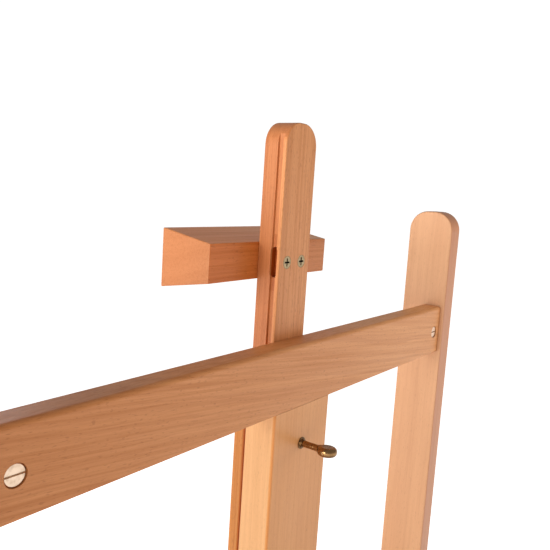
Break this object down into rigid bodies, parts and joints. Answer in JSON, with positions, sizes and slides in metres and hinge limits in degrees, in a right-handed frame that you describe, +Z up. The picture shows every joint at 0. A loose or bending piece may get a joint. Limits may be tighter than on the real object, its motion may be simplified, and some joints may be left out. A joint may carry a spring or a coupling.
{
  "type": "studio easel",
  "caption": "Wooden H-frame studio easel on a low base, with a sliding mast that carries a canvas holder, a sliding tray and rear struts that set the lean.",
  "frame": {"origin": "on the floor, below the middle of the base", "axes": "+Z up, +Y towards the painter, X across the easel"},
  "size_m": [0.7188, 0.66, 1.6207],
  "materials": {
    "beech": "satin oiled",
    "brass": "polished",
    "zinc_screw": "yellow zinc",
    "rubber": "matt",
    "guide": "matt"
  },
  "bodies": {
    "base": {"runner_left": "beech", "runner_right": "beech", "strut_post_left": "beech", "strut_post_right": "beech", "base_rail_front": "beech", "base_rail_rear": "beech", "base_rail_barrel_nuts_front": "brass", "base_rail_barrel_nuts_rear": "brass", "base_rail_bolts": "brass", "strut_post_screws": "zinc_screw", "runner_feet": "rubber", "pivot_bolts": "brass", "pivot_cap_nuts": "brass", "clamp_bolts": "brass", "clamp_washers": "brass"},
    "h_frame": {"upright_left": "beech", "upright_right": "beech", "crossbar_upper": "beech", "crossbar_lower": "beech", "crossbar_bolts": "brass", "crossbar_barrel_nuts": "brass", "strut_bolts": "brass", "strut_cap_nuts": "brass", "column_back": "beech", "guide_strip_left": "guide", "guide_strip_right": "guide", "column_strip_left": "beech", "column_strip_right": "beech", "mast_lock_insert": "brass"},
    "mast": {"mast": "beech", "canvas_holder": "beech", "holder_screws": "zinc_screw"},
    "mast_lock": {"mast_lock_screw": "brass"},
    "tray": {"carriage_front": "beech", "carriage_back": "beech", "carriage_cheek_left": "beech", "carriage_cheek_right": "beech", "carriage_screws": "zinc_screw", "tray_lock_insert": "brass", "tray_shelf": "beech", "tray_lip": "beech", "tray_end_left": "beech", "tray_end_right": "beech", "tray_bracket_left": "beech", "tray_bracket_right": "beech"},
    "tray_lock": {"tray_lock_screw": "brass"},
    "strut_left": {"strut_left": "beech"},
    "strut_right": {"strut_right": "beech"},
    "wing_nut_left": {"wing_nut_left": "brass"},
    "wing_nut_right": {"wing_nut_right": "brass"}
  },
  "joints": [
    {"name": "frame_tilt", "type": "hinge", "parent": "base", "child": "h_frame", "pos_m": [0, 0.11, 0.052], "axis": [1, 0, 0], "range_deg": [-4.56, 9.44]},
    {"name": "strut_left_pivot", "type": "hinge", "parent": "h_frame", "child": "strut_left", "pos_m": [-0.2879, 0.05276, 0.76972], "axis": [1, 0, 0], "range_deg": [-0.8, 0.8]},
    {"name": "strut_right_pivot", "type": "hinge", "parent": "h_frame", "child": "strut_right", "pos_m": [0.2879, 0.05276, 0.76972], "axis": [1, 0, 0], "range_deg": [-0.8, 0.8]},
    {"name": "mast_slide", "type": "slide", "parent": "h_frame", "child": "mast", "axis": [0, -0.0795, 0.9968], "range_m": [-0.23, 0.6]},
    {"name": "tray_slide", "type": "slide", "parent": "h_frame", "child": "tray", "axis": [0, -0.0795, 0.9968], "range_m": [-0.34, 0.38]},
    {"name": "mast_lock_turn", "type": "hinge", "parent": "h_frame", "child": "mast_lock", "pos_m": [0, -0.01595, 1.33435], "axis": [0, -0.9968, -0.0795], "range_deg": [0, 720]},
    {"name": "tray_lock_turn", "type": "hinge", "parent": "tray", "child": "tray_lock", "pos_m": [0, 0.01208, 0.74641], "axis": [0, -0.9968, -0.0795], "range_deg": [0, 720]},
    {"name": "wing_nut_left_turn", "type": "hinge", "parent": "base", "child": "wing_nut_left", "pos_m": [-0.2728, -0.23, 0.15], "axis": [1, 0, 0], "range_deg": [0, 720]},
    {"name": "wing_nut_right_turn", "type": "hinge", "parent": "base", "child": "wing_nut_right", "pos_m": [0.2728, -0.23, 0.15], "axis": [-1, 0, 0], "range_deg": [0, 720]}
  ],
  "couplings": [
    {"joint": "strut_left_pivot", "follows": "frame_tilt", "ratio": -0.0565},
    {"joint": "strut_right_pivot", "follows": "frame_tilt", "ratio": -0.0565}
  ]
}
